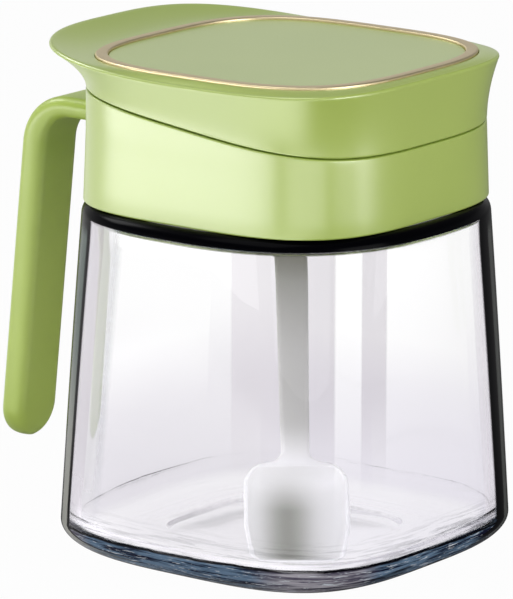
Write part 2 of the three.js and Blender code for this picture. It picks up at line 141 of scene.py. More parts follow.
class Tree:
    """The nodes of one material or of the world."""

    def __init__(self, owner):
        owner.use_nodes = True
        self.nodes = owner.node_tree.nodes
        self.links = owner.node_tree.links
        self.nodes.clear()

    def node(self, kind, settings=None, inputs=None, output=0):
        """Adds a node, sets its settings first and then its sockets, and gives back one output."""
        made = self.nodes.new(kind)
        for name, value in (settings or {}).items():
            setattr(made, name, value)
        for name, value in (inputs or {}).items():
            if isinstance(value, Value):
                self.links.new(value.socket, made.inputs[name])
            elif value is not None:
                made.inputs[name].default_value = value
        return Value(self, made.outputs[output])

    def place(self, scale=(1, 1, 1)):
        """Object coordinates in metres, stretched along each axis."""
        coordinates = self.node("ShaderNodeTexCoord", output="Object")
        return self.node("ShaderNodeMapping", {}, {"Vector": coordinates, "Scale": scale})

    def height_of(self, vector):
        return self.node("ShaderNodeSeparateXYZ", {}, {0: vector}, output="Z")

    def noise(self, vector, scale, detail=3.0, roughness=0.5):
        return self.node(
            "ShaderNodeTexNoise",
            {},
            {"Vector": vector, "Scale": scale, "Detail": detail, "Roughness": roughness},
        )

    def mark(self, name):
        """One of the numbers that a mesh carries on its points."""
        return self.node("ShaderNodeAttribute", {"attribute_name": name}, output="Fac")

    def turned_away(self, normal=None):
        """Zero where a surface, or a given direction, faces the eye, and one at a right angle to it."""
        return self.node("ShaderNodeLayerWeight", {}, {"Blend": 0.5, "Normal": normal}, output="Facing")

    def along(self, vector, way):
        """How far a vector reaches along a fixed direction."""
        return self.node(
            "ShaderNodeVectorMath", {"operation": "DOT_PRODUCT"}, {0: vector, 1: way}, output="Value"
        )

    def ramp(self, factor, low, high, start=0.0, end=1.0):
        """A value that goes from start to end while the factor goes from low to high."""
        return self.node(
            "ShaderNodeMapRange",
            {"interpolation_type": "SMOOTHSTEP"},
            {"Value": factor, "From Min": low, "From Max": high, "To Min": start, "To Max": end},
        )

    def fade(self, factor, low, high):
        """One while the factor is below low, and zero above high."""
        return self.ramp(factor, low, high, 1.0, 0.0)

    def within(self, factor, begins, ends):
        """One between two pairs of numbers, rising over the first and falling over the second."""
        return self.ramp(factor, *begins) * self.fade(factor, *ends)

    def blend(self, factor, first, second):
        """A colour between two colours."""
        return self.node(
            "ShaderNodeMix", {"data_type": "RGBA"}, {0: factor, 6: first, 7: second}, output=2
        )

    def bump(self, height, distance, strength):
        return self.node(
            "ShaderNodeBump", {}, {"Height": height, "Distance": distance, "Strength": strength}
        )

    def principled(self, inputs):
        return self.node("ShaderNodeBsdfPrincipled", {}, inputs)

    def mixed(self, factor, first, second):
        """A surface between two surfaces."""
        return self.node("ShaderNodeMixShader", {}, {0: factor, 1: first, 2: second})

    def out(self, surface, volume=None, kind="ShaderNodeOutputMaterial"):
        made = self.nodes.new(kind)
        self.links.new(surface.socket, made.inputs["Surface"])
        if volume is not None:
            self.links.new(volume.socket, made.inputs["Volume"])


def new_material(name):
    material = bpy.data.materials.new(name)
    return material, Tree(material)


def colour(red, green, blue):
    """A colour written as it looks on a screen, 0 to 255, turned into linear light."""
    shares = np.array([red, green, blue]) / 255
    linear = np.where(shares <= 0.04045, shares / 12.92, ((shares + 0.055) / 1.055) ** 2.4)
    return (*linear.tolist(), 1.0)


NO_TINT = colour(255, 255, 255)
# Most values of a noise lie in the first span, and nearly all of them in the second
NOISE_SPAN = (0.3, 0.7)
BRUSHED_SPAN = (0.25, 0.75)


def green_plastic(name, gloss):
    """Satin moulded plastic: a faint change of tone over the part, a very fine skin, and a soft
    sheen over both, whose weight is the gloss."""
    material, tree = new_material(name)
    tone = tree.noise(tree.place(), scale=22, detail=2)
    grain = tree.noise(tree.place(), scale=2600, detail=2)
    shade = tree.blend(tree.ramp(tone, *NOISE_SPAN), colour(178, 201, 88), colour(183, 205, 94))
    surface = tree.principled(
        {
            "Base Color": shade,
            "Roughness": tree.ramp(grain, *NOISE_SPAN, 0.34, 0.42),
            "Normal": tree.bump(grain, distance=0.00002, strength=0.25),
            "IOR": 1.5,
            "Coat Weight": gloss,
            "Coat Roughness": 0.3,
            "Coat IOR": 2.1,
        }
    )
    tree.out(surface)
    return material


def plain_plastic(name, tint, roughness):
    """Moulded plastic or rubber in one tone, with a fine skin."""
    material, tree = new_material(name)
    grain = tree.noise(tree.place(), scale=1800)
    surface = tree.principled(
        {
            "Base Color": tint,
            "Roughness": tree.ramp(grain, *NOISE_SPAN, roughness - 0.05, roughness + 0.05),
            "Normal": tree.bump(grain, distance=0.00003, strength=0.3),
        }
    )
    tree.out(surface)
    return material


def brushed_metal(name, stretch, scale, roughness, *tints):
    """Bare metal with fine marks along one axis, which change its roughness and, where it has two
    tints, its colour."""
    material, tree = new_material(name)
    marks = tree.noise(tree.place(stretch), scale)
    surface = tree.principled(
        {
            "Base Color": tree.blend(marks, *tints) if len(tints) > 1 else tints[0],
            "Metallic": 1.0,
            "Roughness": tree.ramp(marks, *BRUSHED_SPAN, *roughness),
        }
    )
    tree.out(surface)
    return material


def spoon_plastic():
    """Frosted white plastic with a faint painted glow, an emission though it is no lamp. Painted shade
    makes it greyer in the middle of the bowl and up the stem towards the cap. Heights here are in
    metres."""
    material, tree = new_material("spoon_plastic")
    cloud = tree.noise(tree.place(), scale=60)
    grain = tree.noise(tree.place(), scale=2200, detail=2)
    height = tree.height_of(tree.place())
    pale = tree.blend(cloud, colour(248, 249, 246), colour(254, 254, 252))
    # Painted shade: grey in the middle of the bowl, standing in for its concave shading
    bowl = tree.blend(tree.mark("painted_bowl_shade"), pale, colour(150, 152, 142))
    # Painted shade: greyer up the stem towards the cap
    low_stem = tree.blend(tree.ramp(height, 0.026, 0.036), bowl, colour(208, 209, 204))
    stem = tree.blend(tree.ramp(height, 0.045, 0.082), low_stem, colour(122, 124, 104))
    surface = tree.principled(
        {
            "Base Color": stem,
            "Roughness": tree.ramp(grain, *NOISE_SPAN, 0.28, 0.36),
            "Subsurface Weight": 0.35,
            "Subsurface Radius": (1.0, 1.0, 1.0),
            "Subsurface Scale": 0.002,
            # Painted glow: the spoon emits a little light, though it is no lamp
            "Emission Color": stem,
            "Emission Strength": 0.12,
            "Normal": tree.bump(grain, distance=0.00002, strength=0.2),
        }
    )
    tree.out(surface)
    return material


RIGHTWARDS = (0.8, 0.6, 0)  # level, from the left of the photograph to its right
INSIDE_MARK = 90.0  # the outer_height of points on the inside of the glass, above its outside


class PaintedGlassZones:
    """Where the glass's painted shade, painted highlights and painted reflections lie, each a share
    from
    0 to 1. They follow its height in millimetres, measured on the outside, its corner, which is 0 in
    the middle of a side and 1 on a corner, how far it is turned away, which is 0 facing the eye and 1
    edge on, and the place across the jar, in metres from its middle towards the right."""

    def __init__(self, tree):
        self.tree = tree
        self.height = tree.mark("outer_height")
        self.corner = tree.mark("corner")
        self.away = tree.turned_away()
        self.across = tree.along(tree.place(), RIGHTWARDS)
        self.streaks = tree.noise(tree.place((8, 8, 170)), scale=10, detail=5, roughness=0.62)
        self.front = 1.0 - tree.node("ShaderNodeNewGeometry", output="Backfacing")
        self.right = tree.ramp(self.across, -0.01, 0.01)
        self.left = 1.0 - self.right
        self.outside = tree.fade(self.height, 86, 88)
        self.wall = tree.ramp(self.height, 2.0, 7.0) * self.outside
        self.rounded = tree.ramp(self.corner, 0.4, 0.65)
        self.turn = tree.ramp(self.corner, 0.80, 0.97)
        self.mark_edges()
        self.mark_heel()
        self.mark_sides()

    def mark_edges(self):
        """Painted dark strips down both sides and a painted dark shoulder, which stand in for the
        glass's dark refraction there. The strips show in a view from the side and not from above, so
        they ask how far the upright direction is turned away."""
        tree = self.tree
        upright = tree.node(
            "ShaderNodeVectorMath",
            {"operation": "MULTIPLY_ADD"},
            {0: tree.place(), 1: (0.001, 0.001, 0.001), 2: (0, 0, 1)},
        )
        side_view = tree.ramp(tree.turned_away(upright), 0.3, 0.5)
        self.strip = tree.ramp(self.away, 0.60, 0.63) * self.wall * self.rounded * side_view
        self.outline = tree.ramp(self.away, 0.84, 0.93) * self.outside * side_view
        self.shoulder = tree.within(self.height, (81.0, 81.3), (84, 86))
        self.edge = (self.strip + self.shoulder).at_most(1.0)

    def mark_heel(self):
        """Painted refraction shade of the heel: dark streaks, a dark line along its wavy upper end, and
        dark streaks painted above it.
        """
        tree = self.tree
        wave = tree.noise(tree.place((1, 1, 0.4)), scale=60)
        below = 8.0 + wave * 1.6 - self.height
        foot = tree.ramp(self.height, 0.1, 0.4)
        self.heel = tree.ramp(below, 0.0, 0.4) * foot
        self.line = tree.within(below, (0.0, 0.3), (0.6, 1.0)) * foot
        streaky = tree.fade(self.streaks, 0.40, 0.54)
        # Painted dark streaks above the heel
        self.painted_streak_shade = tree.ramp(below, -8.0, 0.3) * streaky * foot * self.outside

    def mark_sides(self):
        """The painted lavender band and the painted pale part beside each dark strip, and the painted
        grey sheen on it.
        """
        tree = self.tree
        side = tree.ramp(self.height, 9, 14) * self.outside * self.rounded
        band_left = tree.ramp(self.away, 0.455, 0.465) * self.left
        band_right = tree.ramp(self.away, 0.525, 0.535) * self.right
        self.band = (band_left + band_right) * side
        self.painted_pale_part = tree.ramp(self.away, 0.33, 0.40) * self.left * side
        sheen_left = tree.ramp(self.away, 0.66, 0.69) * self.left
        sheen_right = tree.ramp(self.away, 0.74, 0.77) * self.right
        below_shoulder = tree.fade(self.height, 76, 80) * self.wall
        self.sheen = (sheen_left + sheen_right) * tree.fade(self.away, 0.82, 0.88) * below_shoulder


def painted_glass_shade(tree, zones):
    """An opaque surface painted with the glass's dark refraction and its reflections: painted dark
    streaks and glints in the heel, painted black lines, painted grey sheens and painted pale bands."""
    # Painted glints and painted refraction streaks in the heel
    glint_noise = tree.noise(tree.place((10, 10, 120)), scale=22, detail=4, roughness=0.7)
    dark_streak = tree.blend(zones.turn, colour(16, 20, 44), colour(84, 80, 96))
    pale_streak = tree.blend(zones.turn, colour(104, 130, 156), colour(176, 172, 182))
    streaked = tree.blend(tree.ramp(zones.streaks, 0.40, 0.58), dark_streak, pale_streak)
    with_painted_glints = tree.blend(tree.ramp(glint_noise, 0.58, 0.63), streaked, colour(215, 222, 230))
    lined = tree.blend((zones.line + zones.outline).at_most(1.0), with_painted_glints, colour(4, 4, 10))
    # Painted pale bands beside the strips
    band_shade = tree.blend(zones.band, colour(240, 239, 242), colour(220, 215, 222))
    banded = tree.blend((zones.band + zones.painted_pale_part).at_most(1.0), lined, band_shade)
    # Painted grey sheen beside the painted black strips, paler low down on the left
    climb = tree.ramp(zones.height, 15, 60)
    left_grey = tree.blend(climb, colour(158, 158, 152), colour(98, 108, 104))
    grey = tree.blend(zones.right, left_grey, colour(74, 76, 74))
    edge_shade = tree.blend(zones.sheen, colour(2, 2, 5), grey)
    return tree.principled(
        {
            "Base Color": tree.blend(zones.edge, banded, edge_shade),
            "Roughness": 0.2,
            "Specular IOR Level": 0.03,
        }
    )


def tint_and_painted_reflections(tree, zones):
    """The glass's own lavender tint, with painted light on it. It is lavender low down and on the
    corners, and painted darker low on the left. It is painted clear high up on the flat sides, as a
    painted reflection of the bright room there, and it is clear on faces seen from behind, on the
    inside and at the foot. Two upright stripes across the near side are painted refraction, with a
    painted lamp reflection in the clear gap between them."""
    height = zones.height
    # Painted reflection: the flat sides are left clear high up
    flat = tree.fade(zones.corner, 0.86, 0.875) * zones.outside
    painted_bright_sides = tree.ramp(height, 15, 75) * flat
    clear_far_side = (1.0 - zones.front) * tree.ramp(height, 25, 55)
    clear = painted_bright_sides + (1.0 - zones.outside) + clear_far_side + tree.fade(height, 1, 5)
    # Painted shade: the low tint is darker on the left
    low_tint = tree.blend(zones.right, colour(220, 217, 224), colour(234, 231, 240))
    tint = tree.blend(tree.ramp(height, 20, 70), low_tint, colour(231, 227, 234))
    body = tree.blend(clear.at_most(1.0), tint, NO_TINT)
    sides = tree.blend(zones.band, body, colour(236, 231, 239))
    # Painted refraction stripes, and a painted lamp reflection in the gap between them
    stripes = tree.within(zones.across, (-0.0128, -0.0122), (0.0223, 0.0228))
    painted_lamp_gleam = tree.within(zones.across, (0.0105, 0.0112), (0.0166, 0.0171))
    rightwards = tree.ramp(zones.across, -0.006, 0.008)
    stripe_tint = tree.blend(rightwards, colour(224, 219, 225), colour(198, 193, 200))
    striped = tree.blend(painted_lamp_gleam, stripe_tint, NO_TINT)
    shown = stripes * tree.ramp(height, 22, 52) * zones.outside * zones.front
    return tree.blend(shown, sides, striped)


def clear_glass():
    """Clear glass that lets lamps through. Its dark refraction and its reflections are painted on: seen
    edge on it is painted dark, with a painted grey sheen, beside a painted lavender band. The moulded
    heel and shoulder, where light is bent away, are painted dark with streaks."""
    material, tree = new_material("clear_glass")
    zones = PaintedGlassZones(tree)
    glass = tree.principled(
        {
            "Base Color": tint_and_painted_reflections(tree, zones),
            "Roughness": 0.0,
            "IOR": 1.5,
            "Transmission Weight": 1.0,
            "Specular Tint": (0.3, 0.3, 0.3, 1.0),
            "Normal": tree.bump(zones.streaks * zones.heel, distance=0.0003, strength=0.5),
        }
    )
    # Where the painted shade, sheen, glints and pale bands cover the glass
    heel = zones.heel * tree.ramp(zones.turn, 0.0, 1.0, 0.95, 0.75)
    painted_streak_shade = zones.painted_streak_shade * tree.ramp(zones.away, 0.25, 0.6, 0.3, 0.75)
    pale = (zones.painted_pale_part + zones.band * zones.right * 0.3).at_most(1.0)
    pale = pale * tree.ramp(zones.height, 10, 40, 0.15, 0.65)
    cover = zones.strip + zones.shoulder + heel + zones.outline + painted_streak_shade + pale
    seen = tree.mixed(cover.at_most(1.0) * zones.front, glass, painted_glass_shade(tree, zones))
    shadow_ray = tree.node("ShaderNodeLightPath", output="Is Shadow Ray")
    clear = tree.node("ShaderNodeBsdfTransparent", {}, {"Color": colour(245, 245, 248)})
    depths = tree.node(
        "ShaderNodeVolumeAbsorption", {}, {"Color": colour(200, 198, 220), "Density": 1.0}
    )
    tree.out(tree.mixed(shadow_ray, seen, clear), depths)
    return material


GREEN = green_plastic("green_plastic", 0.9)
HANDLE_GREEN = green_plastic("green_handle_plastic", 0.2)
GOLD = brushed_metal(
    "gold_trim", (1, 1, 8), 900, (0.34, 0.44), colour(232, 212, 168), colour(244, 228, 190)
)
WHITE = plain_plastic("white_inner_plastic", colour(228, 229, 224), 0.45)
SILICONE = plain_plastic("silicone", colour(214, 216, 212), 0.55)
SPOON = spoon_plastic()
STEEL = brushed_metal("steel", (1, 8, 1), 1500, (0.18, 0.34), colour(196, 198, 200))
GLASS = clear_glass()


def mix(start, end, share):
    return start + (end - start) * share


def smooth(share):
    """A share eased at both ends: 3 s^2 - 2 s^3."""
    return share * share * (3 - 2 * share)


def square_radius(angle, half, squareness):
    """Radius of a superellipse: half / (|cos|^n + |sin|^n)^(1/n), where n is the squareness."""
    total = np.abs(np.cos(angle)) ** squareness + np.abs(np.sin(angle)) ** squareness
    return half / total ** (1 / squareness)


def ring_points(radius, height):
    """Points at a radius and a height for every angle; both may be numbers or arrays."""
    radius = np.broadcast_to(radius, ANGLES.shape)
    height = np.broadcast_to(height, ANGLES.shape)
    return np.stack([radius * np.cos(ANGLES), radius * np.sin(ANGLES), height], -1)


def square_ring(half, squareness, height):
    """A superellipse ring; height is a number or a function of x."""
    radius = square_radius(ANGLES, half, squareness)
    if callable(height):
        height = height(radius * np.cos(ANGLES))
    return ring_points(radius, height)


def arc(steps, start=0.0, end=90.0):
    """Cosines and sines of an arc's angles, in degrees."""
    turn = np.radians(np.linspace(start, end, steps + 1))
    return list(zip(np.cos(turn), np.sin(turn)))


def soften(mesh):
    """Smooth shading that stops at sharp edges."""
    mesh.polygons.foreach_set("use_smooth", np.ones(len(mesh.polygons), bool))
    mesh.set_sharp_from_angle(angle=SHARP)


def make_object(name, points, faces, material, body, marks=None):
    """Puts points in millimetres and faces into a mesh in metres that rides on a body. Marks are
    named lists of one number for each point, for a material to read."""
    mesh = bpy.data.meshes.new(name)
    mesh.from_pydata((np.asarray(points, float) * MM).tolist(), [], faces)
    mesh.update()
    soften(mesh)
    mesh.materials.append(material)
    for mark, values in (marks or {}).items():
        mesh.attributes.new(mark, "FLOAT", "POINT").data.foreach_set("value", values)
    piece = bpy.data.objects.new(name, mesh)
    bpy.context.scene.collection.objects.link(piece)
    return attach(piece, body)


def grid_faces(rows, columns, close_rows):
    """Quads between neighbouring points of a grid whose columns run round and meet."""
    row = np.arange(rows if close_rows else rows - 1)[:, None]
    column = np.arange(columns)[None, :]
    after = (column + 1) % columns
    above = (row + 1) % rows * columns
    here = row * columns
    quads = np.stack([here + column, here + after, above + after, above + column], -1)
    return quads.reshape(-1, 4).tolist()


def loft(name, rings, material, body, poles=False, marks=None):
    """Joins rings, in order from the bottom outside round to the inside. Without poles the last
    ring joins the first; with poles the first and last rings each close on their middle point.
    Marks are named arrays that spread over the rings' points."""
    points = np.stack(rings)
    rows, columns = points.shape[:2]
    faces = grid_faces(rows, columns, not poles)
    flat = points.reshape(-1, 3)
    if poles:
        side = np.arange(columns)
        after = (side + 1) % columns
        first = np.full(columns, len(flat))
        last_row = (rows - 1) * columns
        faces += np.stack([first, after, side], -1).tolist()
        faces += np.stack([first + 1, last_row + side, last_row + after], -1).tolist()
        flat = np.vstack([flat, points[0].mean(0), points[-1].mean(0)])
    spread = {}
    for mark, values in (marks or {}).items():
        full = np.broadcast_to(values, (rows, columns))
        ends = [full[0].mean(), full[-1].mean()] if poles else []
        spread[mark] = np.concatenate([full.ravel(), ends])
    return make_object(name, flat, faces, material, body, spread)


def turned(name, outline, material, body):
    """A ring whose section is a closed outline of radius and height, its outer side going up."""
    return loft(name, [ring_points(radius, height) for radius, height in outline], material, body)


def rounded_outline(corners, fillet, steps=4):
    """Rounds the corners of a closed outline by arcs: each arc runs between two points at the
    fillet's distance from the corner, as (1-t)^2 A + 2t(1-t) corner + t^2 B."""
    corners = np.array(corners, float)
    before = np.roll(corners, 1, 0) - corners
    after = np.roll(corners, -1, 0) - corners
    fillet = np.minimum(fillet, np.minimum(np.hypot(*before.T), np.hypot(*after.T)) / 2.1)[:, None]
    start = corners + before / np.hypot(*before.T)[:, None] * fillet
    end = corners + after / np.hypot(*after.T)[:, None] * fillet
    share = np.linspace(0, 1, steps + 1)[:, None, None]
    curves = (1 - share) ** 2 * start + 2 * share * (1 - share) * corners + share**2 * end
    return curves.transpose(1, 0, 2).reshape(-1, 2)


def slab_along_y(name, outline, from_y, to_y, material, body, edge=0.3):
    """An outline of x and z carried along Y, drawn in by a small round at each end."""
    outline = np.array(outline, float)
    middle = outline.mean(0)
    reach = np.hypot(*(outline - middle).T)[:, None]
    ends = [(from_y + edge * (1 - c), edge * (1 - s)) for c, s in arc(4)]
    ends += [(to_y - edge * (1 - c), edge * (1 - s)) for c, s in arc(4, 90, 0)]
    rings = []
    for y, inwards in ends:
        drawn = middle + (outline - middle) * (1 - inwards / reach)
        rings.append(np.column_stack([drawn[:, 0], np.full(len(drawn), y), drawn[:, 1]]))
    return loft(name, rings, material, body, poles=True)


def combine(piece, other, operation):
    """Joins another piece to this one, or cuts it away, and deletes the other."""
    step = piece.modifiers.new("combine", "BOOLEAN")
    step.object = other
    step.operation = operation
    step.solver = "EXACT"
    graph = bpy.context.evaluated_depsgraph_get()
    joined = bpy.data.meshes.new_from_object(piece.evaluated_get(graph))
    piece.modifiers.clear()
    piece.data = joined
    soften(joined)
    bpy.data.objects.remove(other)


# Glass jar
SHOULDER_Z = 83.8
FOOT_HALF = 46.2
TOP_HALF = 44.2
FOOT_SQUARENESS = 3.4
TOP_SQUARENESS = 2.5
GLASS_WALL = 3.6
SHOULDER_WALL = 2.4
HEEL_WIDE = 16.0
HEEL_HIGH = 8.2
SHOULDER_WIDE = 2.6
SHOULDER_HIGH = 3.0
FLOOR_Z = 5.2
INNER_HEEL_WIDE = 8.0
INNER_HEEL_HIGH = 6.0
INNER_SHOULDER_HIGH = 1.8
NECK_OUTER = 32.4
NECK_INNER = 28.8
NECK_TOP = node_box("glass_jar")[1][2]
NECK_ROUND = 1.0
FLOOR_PATCH = 22.8  # half width of the sunk part of the floor
FLOOR_EDGE = 0.8  # how far the slope at its edge reaches to either side
FLOOR_SQUARENESS = 3.6
FLOOR_STEP = 0.5


def glass_ring(z, inwards):
    share = z / SHOULDER_Z
    half = mix(FOOT_HALF, TOP_HALF, share) - inwards
    return square_ring(half, mix(FOOT_SQUARENESS, TOP_SQUARENESS, share), z)


def make_glass():
    """Outside: an elliptical heel, a straight wall and a small elliptical shoulder, then the round
    neck. Inside: the same with smaller curves, and a shallow square step in the floor. The points
    carry their height on the outside, and |sin 2a| at the angle a round the jar as their corner."""
    rings = [glass_ring(0, HEEL_WIDE * 1.6), glass_ring(0, HEEL_WIDE * 1.1)]
    for across, up in arc(22):
        rings.append(glass_ring(HEEL_HIGH * (1 - across), HEEL_WIDE * (1 - up)))
    wall_top = SHOULDER_Z - SHOULDER_HIGH
    for share in np.linspace(0, 1, 16)[1:-1]:
        rings.append(glass_ring(mix(HEEL_HIGH, wall_top, share), 0))
    for across, up in arc(10):
        rings.append(glass_ring(wall_top + up * SHOULDER_HIGH, (1 - across) * SHOULDER_WIDE))
    heights = [ring[0, 2] for ring in rings]
    outer_rings = len(rings)
    rings.append(ring_points(NECK_OUTER + 2 * NECK_ROUND, SHOULDER_Z))
    for radius, z, first, last in [
        (NECK_OUTER + NECK_ROUND, SHOULDER_Z + NECK_ROUND, 270, 180),
        (NECK_OUTER - NECK_ROUND, NECK_TOP - NECK_ROUND, 0, 90),
        (NECK_INNER + NECK_ROUND, NECK_TOP - NECK_ROUND, 90, 180),
    ]:
        for across, up in arc(5, first, last):
            rings.append(ring_points(radius + NECK_ROUND * across, z + NECK_ROUND * up))
    ceiling = SHOULDER_Z - SHOULDER_WALL
    rings.append(ring_points(NECK_INNER, ceiling + 2 * NECK_ROUND))
    rings.append(ring_points(NECK_INNER, ceiling + NECK_ROUND))
    for across, up in arc(14, 90, 0):
        z = ceiling - (1 - up) * INNER_SHOULDER_HIGH
        share = z / SHOULDER_Z
        full = mix(FOOT_HALF, TOP_HALF, share) - GLASS_WALL
        squareness = mix(2, mix(FOOT_SQUARENESS, TOP_SQUARENESS, share), across)
        rings.append(square_ring(mix(NECK_INNER + NECK_ROUND, full, across), squareness, z))
    heel_top = FLOOR_Z + INNER_HEEL_HIGH
    for share in np.linspace(0, 1, 14)[1:-1]:
        rings.append(glass_ring(mix(ceiling - INNER_SHOULDER_HIGH, heel_top, share), GLASS_WALL))
    for across, up in arc(14):
        z = FLOOR_Z + (1 - up) * INNER_HEEL_HIGH
        rings.append(glass_ring(z, GLASS_WALL + INNER_HEEL_WIDE * (1 - across)))
    for share in np.linspace(0, 1, 7):
        half = FLOOR_PATCH + FLOOR_EDGE * (1 - 2 * share)
        rings.append(square_ring(half, FLOOR_SQUARENESS, FLOOR_Z - FLOOR_STEP * smooth(share)))
    rings.append(ring_points(FLOOR_PATCH / 2, FLOOR_Z - FLOOR_STEP))
    heights += [INSIDE_MARK] * (len(rings) - outer_rings)
    marks = {"outer_height": np.array(heights)[:, None], "corner": np.abs(np.sin(2 * ANGLES))}
    piece = loft("glass_body", rings, GLASS, "jar", poles=True, marks=marks)
    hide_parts("glass_jar")


make_glass()

# Cap: collar, insert and gasket
GAP = 0.3
WALL = 2.4
COLLAR_BOTTOM = SHOULDER_Z + 0.1
COLLAR_BOTTOM_HALF = 41.2
COLLAR_EDGE_HALF = 40.6
COLLAR_SQUARENESS = 3.3
EDGE_AT_FRONT = 101.5
EDGE_SLOPE = 0.122
SEAM = 0.4
WEB_Z = 91.6
WEB_THICK = 2.0
SKIRT_INNER = NECK_OUTER + 0.5
SKIRT_OUTER = 35.0
MOUTH = 27.5  # radius of the opening that the lid's plug enters


def seam_z(x):
    return EDGE_AT_FRONT + EDGE_SLOPE * (COLLAR_EDGE_HALF - x)


def collar_half(z):
    share = (z - COLLAR_BOTTOM) / (EDGE_AT_FRONT - COLLAR_BOTTOM)
    return mix(COLLAR_BOTTOM_HALF, COLLAR_EDGE_HALF, min(share, 1))


def make_collar():
    """A thin wall with a rounded foot and a rounded sloping rim, and a level web inside it."""

    def wall(z, inwards):
        return square_ring(collar_half(z) - inwards, COLLAR_SQUARENESS, z)

    def rim(inwards, drop):
        return square_ring(
            COLLAR_EDGE_HALF - inwards, COLLAR_SQUARENESS, lambda x: seam_z(x) - SEAM / 2 - drop
        )

    foot_round = 0.5
    rim_round = 0.35
    inner_bevel = 0.2
    web_bevel = 0.5
    rings = [wall(COLLAR_BOTTOM, WALL - inner_bevel), wall(COLLAR_BOTTOM, foot_round)]
    for across, up in arc(6, 270, 360):
        rings.append(wall(COLLAR_BOTTOM + foot_round * (1 + up), foot_round * (1 - across)))
    for z in np.linspace(COLLAR_BOTTOM + foot_round, EDGE_AT_FRONT - 1, 5)[1:]:
        rings.append(wall(z, 0))
    for across, up in arc(6):
        rings.append(rim(rim_round * (1 - across), rim_round * (1 - up)))
    for across, up in arc(4, 90, 180):
        rings.append(rim(WALL - rim_round * (1 + across), rim_round * (1 - up)))
    web_top = WEB_Z + WEB_THICK
    rings.append(wall(web_top + web_bevel, WALL))
    rings.append(wall(web_top, WALL + web_bevel))
    rings.append(ring_points(SKIRT_OUTER + GAP, web_top))
    rings.append(ring_points(SKIRT_OUTER + GAP, WEB_Z))
    rings.append(wall(WEB_Z, WALL + web_bevel))
    rings.append(wall(WEB_Z - web_bevel, WALL))
    rings.append(wall(COLLAR_BOTTOM + inner_bevel, WALL))
    piece = loft("collar_shell", rings, GREEN, "cap")
    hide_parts("collar")
    return piece


def make_collar_insert():
    """A round skirt with a flange that sits on the collar's web, and a lip round the mouth."""
    low, high = node_box("collar_insert")
    lip_z = 101.2
    lip_round = 0.5
    bevel = 0.3
    flange_z = WEB_Z + WEB_THICK + GAP
    flange_top = flange_z + 1.6
    outline = [(MOUTH + bevel, lip_z), (SKIRT_INNER, lip_z), (SKIRT_INNER, low[2] + bevel)]
    outline += [(SKIRT_INNER + bevel, low[2]), (SKIRT_OUTER - bevel, low[2])]
    outline += [(SKIRT_OUTER, low[2] + bevel), (SKIRT_OUTER, flange_z), (high[0], flange_z)]
    outline += [(high[0], flange_top), (SKIRT_OUTER, flange_top)]
    for middle, first, last in [(SKIRT_OUTER - lip_round, 0, 90), (MOUTH + lip_round, 90, 180)]:
        for across, up in arc(5, first, last):
            outline.append((middle + lip_round * across, high[2] - lip_round * (1 - up)))
    outline.append((MOUTH, lip_z + bevel))
    piece = turned("collar_insert_ring", outline, WHITE, "cap")
    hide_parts("collar_insert")


def make_neck_gasket():
    low, high = node_box("neck_gasket")
    inner = NECK_INNER + 0.4
    corners = [(inner, low[2]), (high[0], low[2]), (high[0], high[2]), (inner, high[2])]
    piece = turned("neck_gasket_ring", rounded_outline(corners, 0.5), SILICONE, "cap")
    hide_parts("neck_gasket")


# Hinge: two knuckles on the collar, one on the lid, and a pin through all three
HINGE_X = -44.5
HINGE_Z = 110.0
KNUCKLE = 2.6  # radius, as are the next two
BORE = 1.5
PIN = 1.2
LID_KNUCKLE_HALF = 5.0
HINGE_HALF = 12.0


def hinge_arc(radius, degrees):
    """Points of x and z at a radius round the hinge's axis."""
    turn = np.radians(degrees)
    return np.column_stack([HINGE_X + radius * np.cos(turn), HINGE_Z + radius * np.sin(turn)])


def disc_outline(radius):
    """A whole turn round the hinge's axis, the way round that a slab along Y needs."""
    return hinge_arc(radius, np.linspace(360, 0, 49)[1:])


def add_collar_knuckles(collar):
    """Each knuckle is a half round that runs on into a level web, which meets the collar's wall."""
    nose = hinge_arc(KNUCKLE, np.linspace(90, 270, 25))
    over = hinge_arc(KNUCKLE, np.linspace(8, 80, 9))
    root_x = -COLLAR_EDGE_HALF + 1
    under_z = HINGE_Z - KNUCKLE
    root = [(HINGE_X + 1.6, under_z), (root_x, under_z), (root_x, HINGE_Z + 0.4)]
    outline = np.vstack([nose, root, over])[::-1]
    near = LID_KNUCKLE_HALF + GAP
    for from_y, to_y in [(near, HINGE_HALF), (-HINGE_HALF, -near)]:
        knuckle = slab_along_y("knuckle", outline, from_y, to_y, GREEN, "cap")
        combine(collar, knuckle, "UNION")
    reach = HINGE_HALF + 2
    hole = slab_along_y("hole", disc_outline(BORE), -reach, reach, GREEN, "cap")
    combine(collar, hole, "DIFFERENCE")


def make_hinge_pin():
    """A steel pin with rounded ends."""
    low, high = node_box("hinge_pin")
    section = disc_outline(PIN)
    piece = slab_along_y("hinge_pin_rod", section, low[1], high[1], STEEL, "cap", edge=0.4)
    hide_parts("hinge_pin")


# Handle: a rounded strap along an arm, a bend and a leaning grip
HANDLE_WIDE = 15.8
GRIP_THICK = 6.6
ARM_THICK = 5.0
STRAP_EDGE = 3.1
ARM_Z = 98.4
BEND = 10.8
LEAN = 0.103  # millimetres outwards for each millimetre down
GRIP_X = -70.5  # middle of the grip at the height GRIP_Z
GRIP_Z = 88.6
TIP_Z = 14.8


